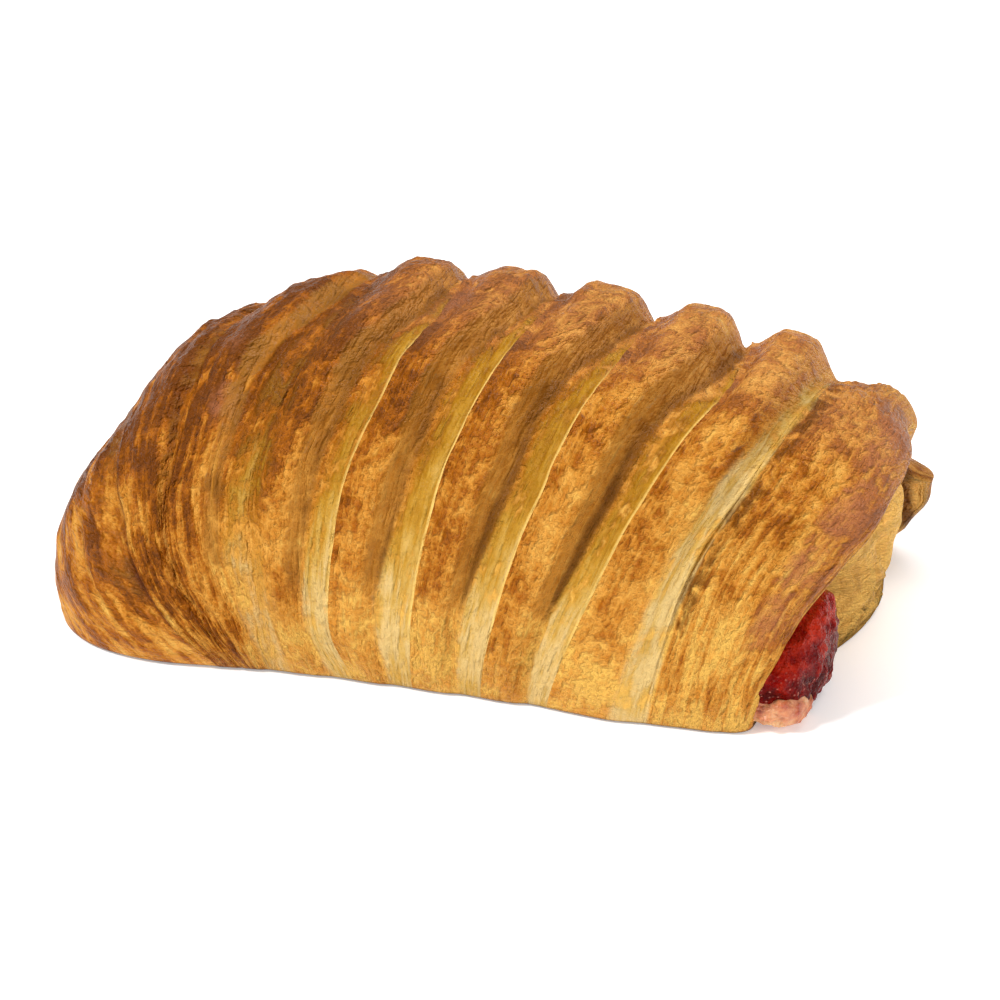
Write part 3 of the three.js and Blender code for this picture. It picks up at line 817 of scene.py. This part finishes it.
# Mottling of baked dough: squeeze along the strips, or none where it is even in all directions, then scale,
# detail, roughness, distortion and spread
mottling = {
    "strands": (0.1, 70.0, 3.0, 0.6, 0.5, 0.2),
    "fine": (0.1, 165.0, 2.0, 0.5, 0.2, 0.2),
    "blotches": (None, 140.0, 4.0, 0.55, 0.0, 0.22),
    "flakes": (0.62, 66.0, 3.0, 0.6, 0.0, 0.22),
    "grains": (None, 1500.0, 1.0, 0.5, 0.0, 0.24),
}


def makeBakeGroup():
    # Each layer goes from about -1 to 1
    group = bpy.data.node_groups.new("bakeMottle", "ShaderNodeTree")
    for name in ("Grain", "Place"):
        group.interface.new_socket(name, in_out="INPUT", socket_type="NodeSocketVector")
    for name in mottling:
        group.interface.new_socket(name, in_out="OUTPUT", socket_type="NodeSocketFloat")
    source = addNode(group, "NodeGroupInput").outputs
    result = addNode(group, "NodeGroupOutput")
    for name, (squeeze, *shape, spread) in mottling.items():
        vector = source["Place"]
        if squeeze:
            stretch = {"i0": source["Grain"], "i1": (1, squeeze, 1)}
            vector = addNode(group, "ShaderNodeVectorMath", {"operation": "MULTIPLY"}, **stretch).outputs[0]
        layer = span(group, noiseLayer(group, vector, *shape), 0.5 - spread, 0.5 + spread, -1.0, 1.0)
        group.links.new(layer, result.inputs[name])
    return group


# How the crust's paint is mixed: shares of the mottling layers, and spans from low and high to low and high
crustColours = {
    # Painted light: a pinkish sheen for smooth patches and for the tops, and shade for the right flanks
    "plumSheen": srgb(178, 110, 72), "topSheen": srgb(196, 140, 104), "flank": srgb(166, 112, 40),
    # Painted shade for slash floors and the spots past the last edge, a painted highlight for the crisp
    # edges, and pale inside dough painted brighter
    "fold": srgb(108, 62, 6), "edge": srgb(248, 208, 116), "inside": srgb(255, 200, 106),
    # Painted shade for creases, cracks and pits, and a browned sole with a painted contact shadow
    "crack": srgb(84, 36, 4), "soleBrownAndShade": srgb(88, 46, 14),
}
bakeStops = [(0.0, srgb(236, 182, 84)), (0.2, srgb(224, 158, 66)), (0.42, srgb(206, 134, 44)),
             (0.62, srgb(170, 95, 14)), (0.92, srgb(116, 60, 6))]
# Painted light and shade of the cut faces, from dark at the slash's floor to cream at the edge
cutStops = [(0.0, srgb(136, 84, 8)), (0.25, srgb(168, 116, 22)), (0.5, srgb(190, 140, 44)),
            (0.75, srgb(206, 164, 80)), (1.0, srgb(222, 188, 120))]
crustLook = {
    "brownHeat": 0.68, "patchHeat": {"blotches": 0.2, "flakes": 0.14}, "patchStreak": (0.0, 1.0, 1.0, 0.8),
    "strandStreak": (0.0, 1.0, 0.06, 0.3), "fineHeat": {"fine": 0.08, "grains": 0.06},
    "topSheen": 0.2, "inside": 0.6, "soleBrownAndShade": 0.85,
    "plumSheenNoise": {"flakes": 1.0, "blotches": 1.0}, "plumSheenUneven": (-1.2, 1.0, 0.6, 1.4),
    "plumSheen": (0.15, 1.3, 0.0, 0.6),
    "flankNoise": {"flakes": 0.2, "blotches": 0.15}, "flank": (0.2, 0.9, 0.0, 0.66),
    "cutNoise": {"strands": 0.3, "flakes": 0.3, "blotches": 0.4}, "cut": (0.06, 0.85),
    "lightNoise": {"strands": 0.16, "fine": 0.1, "blotches": 0.16},
    "foldNoise": {"blotches": 0.2, "strands": 0.15}, "fold": (0.15, 1.0, 0.0, 0.8),
    "fuzzNoise": {"flakes": 0.5, "blotches": 0.4}, "fuzzyShade": (0.3, 1.4, 0.0, 0.8),
    "crackUneven": (-1.0, 1.0, 0.7, 1.15), "crack": (0.1, 0.9, 0.0, 0.85),
    "roughHeight": {"blotches": 0.4, "flakes": 0.5, "grains": 0.08}, "calmHeight": (0.0, 1.0, 1.0, 0.4),
    "fineHeight": {"strands": 0.18, "fine": 0.08}, "bumpDepth": 0.001,
    "roughness": (0.1, 0.8, 0.56, 0.4), "specular": 0.12,
}


def crustMaterial(bake):
    look, colours = crustLook, crustColours
    material, tree = newTree("bakedCrust")
    grain = addNode(tree, "ShaderNodeUVMap", {"uv_map": "grain"}).outputs[0]
    place = addNode(tree, "ShaderNodeTexCoord").outputs["Object"]
    mottle = addNode(tree, "ShaderNodeGroup", {"node_tree": bake}, Grain=grain, Place=place).outputs
    names = ("brown", "pale", "cutLight", "edge", "flank", "grooveShade", "fuzzyShade", "streak", "plumSheen", "inside",
             "fold", "soleBrownAndShade", "topSheen")
    masks = {name: mask(tree, name) for name in names}

    def uneven(value, noiseName):
        # A mask made larger and smaller by mottling
        return times(tree, value, calc(tree, "ADD", weighted(tree, mottle, look[noiseName]), 1.0))

    def frayed(name, noiseName):
        # A mask with mottling added, so that its border is ragged
        return span(tree, total(tree, masks[name], weighted(tree, mottle, look[noiseName])), *look[name])

    # Browning: the mask, broken up by blotches and flakes, and by strands in the gathered end
    patchy = weighted(tree, mottle, look["patchHeat"])
    heat = total(tree, times(tree, masks["brown"], look["brownHeat"]),
                 times(tree, patchy, span(tree, masks["streak"], *look["patchStreak"])),
                 times(tree, mottle["strands"], span(tree, masks["streak"], *look["strandStreak"])),
                 weighted(tree, mottle, look["fineHeat"]))
    colour = ramp(tree, heat, bakeStops)
    # Painted sheen: the tops blend towards a pinkish grey that stands in for reflected light
    colour = blend(tree, times(tree, masks["topSheen"], look["topSheen"]), colour, colours["topSheen"])
    # Smooth patches and the lip's edge take a painted pinkish sheen, broken up by mottling
    plumSheenNoise = span(tree, weighted(tree, mottle, look["plumSheenNoise"]), *look["plumSheenUneven"])
    plumSheen = span(tree, times(tree, masks["plumSheen"], plumSheenNoise), *look["plumSheen"])
    colour = blend(tree, plumSheen, colour, colours["plumSheen"])
    # Painted shade: the right flanks blend towards a greyish olive where they fall away from the light
    colour = blend(tree, frayed("flank", "flankNoise"), colour, colours["flank"])
    # Cut faces: painted shade at the slash's floor, painted light towards the edge, cream at the foot, with
    # strands along them
    light = total(tree, masks["cutLight"], weighted(tree, mottle, look["lightNoise"]))
    cut = span(tree, uneven(masks["pale"], "cutNoise"), *look["cut"])
    colour = blend(tree, cut, colour, ramp(tree, light, cutStops))
    # Painted shade on the slash's floor, dark olive where the cut face dips under the strip
    colour = blend(tree, frayed("fold", "foldNoise"), colour, colours["fold"])
    # Painted shadow spots just past the last slash's edge, in the slash floor's dark colour
    spots = span(tree, uneven(masks["fuzzyShade"], "fuzzNoise"), *look["fuzzyShade"])
    colour = blend(tree, spots, colour, colours["fold"])
    # Painted highlight: a thin bright line along the crisp edges
    colour = blend(tree, masks["edge"], colour, colours["edge"])
    # Pale inside dough of the end wall, painted brighter to stand in for light on it
    colour = blend(tree, times(tree, masks["inside"], look["inside"]), colour, colours["inside"])
    # Painted shade in creases, cracks, pits, the end wall's folds and the flap's gap
    deep = times(tree, masks["grooveShade"], span(tree, mottle["blotches"], *look["crackUneven"]))
    colour = blend(tree, span(tree, deep, *look["crack"]), colour, colours["crack"])
    # Browned sole, and a painted contact shadow as a thin dark line along the foot
    colour = blend(tree, times(tree, masks["soleBrownAndShade"], look["soleBrownAndShade"]), colour, colours["soleBrownAndShade"])
    # Heights in millimetres, calmer on the flanks and the cut faces
    calm = span(tree, calc(tree, "MAXIMUM", masks["flank"], masks["pale"]), *look["calmHeight"])
    height = total(tree, times(tree, weighted(tree, mottle, look["roughHeight"]), calm),
                   weighted(tree, mottle, look["fineHeight"]))
    addSurface(tree, colour, height, look["bumpDepth"],
               {"Roughness": span(tree, heat, *look["roughness"]), "Specular IOR Level": look["specular"]})
    return material


jamLook = {
    "lumps": (260.0, 4.0, 0.65), "cells": 1700.0, "seed": (0.1, 0.5, 1.0, 0.0), "chance": (0.6, 0.9),
    # lighterUp paints a glow higher up, and sparkleUp sets where painted glints fall
    "lighterUp": (0.006, 0.017, -0.08, 0.14), "sparkleUp": (0.007, 0.013, 0.5, 0.06),
    "stops": [(0.34, srgb(70, 0, 0)), (0.5, srgb(120, 4, 0)), (0.72, srgb(186, 44, 20))],
    "sparkle": srgb(224, 140, 120), "lumpHeight": 1.5, "seedHeight": 0.14, "bumpDepth": 0.001,
    "surface": {"Roughness": 0.18, "Specular IOR Level": 0.06},
}


def jamMaterial():
    look = jamLook
    material, tree = newTree("strawberryJam")
    place = addNode(tree, "ShaderNodeTexCoord").outputs["Object"]
    lumps = noiseLayer(tree, place, *look["lumps"])
    cells = addNode(tree, "ShaderNodeTexVoronoi", Vector=place, Scale=look["cells"])
    seed = span(tree, cells.outputs["Distance"], *look["seed"])
    chance = addNode(tree, "ShaderNodeSeparateColor", Color=cells.outputs["Color"]).outputs[0]
    level = addNode(tree, "ShaderNodeSeparateXYZ", Vector=place).outputs["Z"]
    # Painted glow: lighter higher up, standing in for light through the jam
    colour = ramp(tree, total(tree, lumps, span(tree, level, *look["lighterUp"])), look["stops"])
    # Painted glints on the seeds, more of them low down
    sparkle = times(tree, times(tree, seed, span(tree, chance, *look["chance"])),
                    span(tree, level, *look["sparkleUp"]))
    colour = blend(tree, sparkle, colour, look["sparkle"])
    height = total(tree, times(tree, lumps, look["lumpHeight"]), times(tree, seed, look["seedHeight"]))
    addSurface(tree, colour, height, look["bumpDepth"], look["surface"])
    return material


cheeseLook = {
    "stain": (260.0, 4.0, 0.6), "bumpDepth": 0.002,
    "stops": [(0.34, srgb(236, 182, 130)), (0.5, srgb(212, 136, 92)), (0.66, srgb(166, 62, 38))],
    "surface": {"Roughness": 0.3, "Subsurface Weight": 0.25, "Subsurface Radius": (1.0, 0.5, 0.3),
                "Subsurface Scale": 0.002},
}


def cheeseMaterial():
    look = cheeseLook
    material, tree = newTree("softCheese")
    place = addNode(tree, "ShaderNodeTexCoord").outputs["Object"]
    stain = noiseLayer(tree, place, *look["stain"])
    addSurface(tree, ramp(tree, stain, look["stops"]), stain, look["bumpDepth"], look["surface"])
    return material


# Fillings: a rod through the loaf that swells out of the pocket. A ring is X, half width, half height, drop
fillings = {
    "jam": {
        "leftX": -34.0, "insideY": 1.5, "insideZ": 21.5, "insideHalf": (17.0, 7.0),
        "mouthX": 58.0, "mouthY": -19.4, "mouthZ": 9.2, "slant": (1.1, -0.3), "power": 2.4,
        "seed": 50, "lump": (2.8, 0.6), "grain": (1.0, 0.1), "cap": (62.0, 4.0),
        "rings": [(58.6, 14.0, 8.4, 0.0), (61.4, 13.6, 8.4, 0.0), (63.6, 12.8, 8.2, -0.1),
                  (65.3, 11.4, 7.8, -0.3), (66.4, 9.0, 6.8, -0.5), (67.0, 5.4, 4.4, -0.6),
                  (67.2, 2.0, 1.8, -0.6)],
    },
    "cheese": {
        "leftX": -30.0, "insideY": -8.0, "insideZ": 13.0, "insideHalf": (8.0, 3.0),
        "mouthX": 55.0, "mouthY": -26.6, "mouthZ": 4.4, "slant": (0.0, 0.3), "power": 2.2,
        "seed": 70, "lump": (2.4, 0.6), "grain": (0.9, 0.15), "cap": (61.5, 3.0),
        "rings": [(57.5, 6.0, 3.6, -0.4), (60.5, 6.6, 3.8, -0.6), (63.2, 6.2, 3.4, -0.8),
                  (64.8, 4.8, 2.6, -1.1), (65.6, 2.9, 1.7, -1.3), (65.9, 1.0, 0.6, -1.4)],
    },
}
fillingMesh = {"count": 120, "around": 50, "insideRings": 9, "mouthRings": 48, "toMouth": (0.5, 0.5),
               "tipShare": 0.3, "tipRun": 0.25, "lowest": 0.25, "seamFade": 4,
               "sideSeeds": (0, 9), "capSeeds": (20, 30)}


def fillingPiece(name, shape):
    count, seed, power = fillingMesh["count"], shape["seed"], shape["power"]
    turn = np.linspace(0, 2 * np.pi, count, endpoint=False)
    square = 1 / (np.abs(np.cos(turn)) ** power + np.abs(np.sin(turn)) ** power) ** (1 / power)
    around = turn / (2 * np.pi) * fillingMesh["around"]
    seamFade = np.minimum(1, fillingMesh["seamFade"] * (0.5 - 0.5 * np.cos(turn)))
    sizes = (shape["lump"], shape["grain"])
    mouthX, mouthY, mouthZ = shape["mouthX"], shape["mouthY"], shape["mouthZ"]
    mouthHalf = shape["rings"][0][1:3]

    def ring(x, y, z, halfY, halfZ, rough):
        # Lumps stand out sideways along the rod, and forward on its end
        side = sum(noise(np.full(count, x / size), around / size, seed + own) * height
                   for (size, height), own in zip(sizes, fillingMesh["sideSeeds"]))
        cap = rough * grow(x, shape["cap"])
        out = 1 + (rough - cap) * side * seamFade / max(halfY, 1.0)
        ys = y + square * np.cos(turn) * halfY * out
        zs = np.maximum(fillingMesh["lowest"], z + square * np.sin(turn) * halfZ * out)
        slantY, slantZ = shape["slant"]
        xs = x + rough * (slantY * (ys - mouthY) / mouthHalf[0] + slantZ * (zs - mouthZ) / mouthHalf[1])
        for (size, height), own in zip(sizes, fillingMesh["capSeeds"]):
            xs = xs + cap * height * noise(ys / size, zs / size, seed + own)
        return np.stack([xs, ys, zs], axis=-1)

    rings = []
    for share in np.arange(fillingMesh["insideRings"]) / fillingMesh["insideRings"]:
        toMouth = grow(share, fillingMesh["toMouth"])
        tip = np.sqrt(1 - clamp01(1 - share / fillingMesh["tipRun"]) ** 2)
        swell = mix(fillingMesh["tipShare"], 1, tip)
        halves = [mix(inside * swell, mouth, toMouth)
                  for inside, mouth in zip(shape["insideHalf"], mouthHalf)]
        rings.append(ring(mix(shape["leftX"], mouthX, share), mix(shape["insideY"], mouthY, toMouth),
                          mix(shape["insideZ"], mouthZ, toMouth), *halves, 0))
    places, *measures = zip(*shape["rings"])
    for x in mix(places[0], places[-1], np.sin(np.linspace(0, 1, fillingMesh["mouthRings"]) * np.pi / 2)):
        halfY, halfZ, drop = (np.interp(x, places, measure) for measure in measures)
        rings.append(ring(x, mouthY, mouthZ + drop, halfY, halfZ, 1))
    endPole = rings[-1].mean(axis=0) + np.array([poleOut, 0, 0])
    return ringMesh(name, rings, rings[0].mean(axis=0), endPole)


def fixNormals(piece):
    bpy.ops.object.select_all(action="DESELECT")
    piece.select_set(True)
    bpy.context.view_layer.objects.active = piece
    bpy.ops.object.mode_set(mode="EDIT")
    bpy.ops.mesh.select_all(action="SELECT")
    bpy.ops.mesh.normals_make_consistent(inside=False)
    bpy.ops.object.mode_set(mode="OBJECT")
    bpy.ops.object.shade_smooth()


def shiftTo(piece, shift):
    piece.data.transform(Matrix.Translation(shift))
    piece.data.update()


# All three pieces move by what brings the crust's middle onto the dough's
crustPiece = makeCrust()
corners = np.empty(len(crustPiece.data.vertices) * 3)
crustPiece.data.vertices.foreach_get("co", corners)
corners = corners.reshape(-1, 3)
doughLow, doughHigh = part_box("dough")
ownMiddle = (corners.min(axis=0) + corners.max(axis=0)) / 2
doughMiddle = (doughLow + doughHigh) / 2
shift = Vector((doughMiddle.x - ownMiddle[0], doughMiddle.y - ownMiddle[1], 0))
print("crust: own box", corners.min(axis=0) / mm, corners.max(axis=0) / mm, "shift", shift / mm)

jamPiece = fillingPiece("jam", fillings["jam"])
cheesePiece = fillingPiece("cheese", fillings["cheese"])
bakeGroup = makeBakeGroup()
for piece, material, node, slotName in (
    (crustPiece, crustMaterial(bakeGroup), "dough", "crust"),
    (jamPiece, jamMaterial(), "strawberry_filling", "jam"),
    (cheesePiece, cheeseMaterial(), "cheese_filling", "cheese"),
):
    fixNormals(piece)
    shiftTo(piece, shift)
    piece.data.materials.append(material)
    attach(piece, "root")
    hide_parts(node)
    print(piece.name, len(piece.data.polygons), "faces")

# Floor, light and camera
stage = {"floorSize": 6.0, "floorColour": (0.93, 0.93, 0.93, 1), "floorRoughness": 0.8, "floorGlow": 0.3,
         "white": (1, 1, 1, 1), "world": 0.2, "lampAim": (0, 0, 0.02)}
bpy.ops.mesh.primitive_plane_add(size=stage["floorSize"], location=(0, 0, 0))
floor = bpy.context.object
floor.name = "floor"
floorMaterial, floorTree = newTree("paleFloor")
floorShader = addNode(floorTree, "ShaderNodeBsdfPrincipled", Roughness=stage["floorRoughness"],
                      **{"Base Color": stage["floorColour"], "Emission Color": stage["white"],
                         "Emission Strength": stage["floorGlow"]})
addNode(floorTree, "ShaderNodeOutputMaterial", Surface=floorShader.outputs[0])
floor.data.materials.append(floorMaterial)

world = bpy.data.worlds.new("studio")
world.use_nodes = True
background = world.node_tree.nodes["Background"].inputs
background["Color"].default_value = stage["white"]
background["Strength"].default_value = stage["world"]
bpy.context.scene.world = world

lamps = [
    {"name": "key", "at": (-0.5, -0.5, 0.85), "size": 0.18, "power": 10.0},
    {"name": "top", "at": (0.2, 0.55, 0.85), "size": 0.6, "power": 6.4},
    {"name": "fill", "at": (0.93, -0.4, 0.45), "size": 0.7, "power": 4.9},
]
for lamp in lamps:
    data = bpy.data.lights.new(lamp["name"], "AREA")
    data.size, data.energy = lamp["size"], lamp["power"]
    light = bpy.data.objects.new(lamp["name"], data)
    light.location = lamp["at"]
    light.rotation_mode = "QUATERNION"
    light.rotation_quaternion = (Vector(stage["lampAim"]) - Vector(lamp["at"])).to_track_quat("-Z", "Y")
    bpy.context.scene.collection.objects.link(light)
print("stage: floor and", len(lamps), "lamps")

view = {"azimuth": 14.77, "elevation": 27.83, "distance": 614.7, "pixelsPerMm": 5.875, "pixels": 1000,
        "sensor": 36, "left": 7.42, "down": 15.39}
a, e = math.radians(view["azimuth"]), math.radians(view["elevation"])
back = Vector((math.sin(a) * math.cos(e), -math.cos(a) * math.cos(e), math.sin(e)))
right = Vector((math.cos(a), math.sin(a), 0))
up = back.cross(right)
cameraData = bpy.data.cameras.new("camera")
cameraData.sensor_width = view["sensor"]
cameraData.lens = view["pixelsPerMm"] * view["distance"] / view["pixels"] * view["sensor"]
camera = bpy.data.objects.new("camera", cameraData)
camera.matrix_world = Matrix((
    (right.x, up.x, back.x, 0), (right.y, up.y, back.y, 0), (right.z, up.z, back.z, 0), (0, 0, 0, 1)))
camera.location = (back * view["distance"] + right * view["left"] + up * view["down"]) * mm + shift
bpy.context.scene.collection.objects.link(camera)
bpy.context.scene.camera = camera
bpy.context.scene.view_settings.view_transform = "Standard"
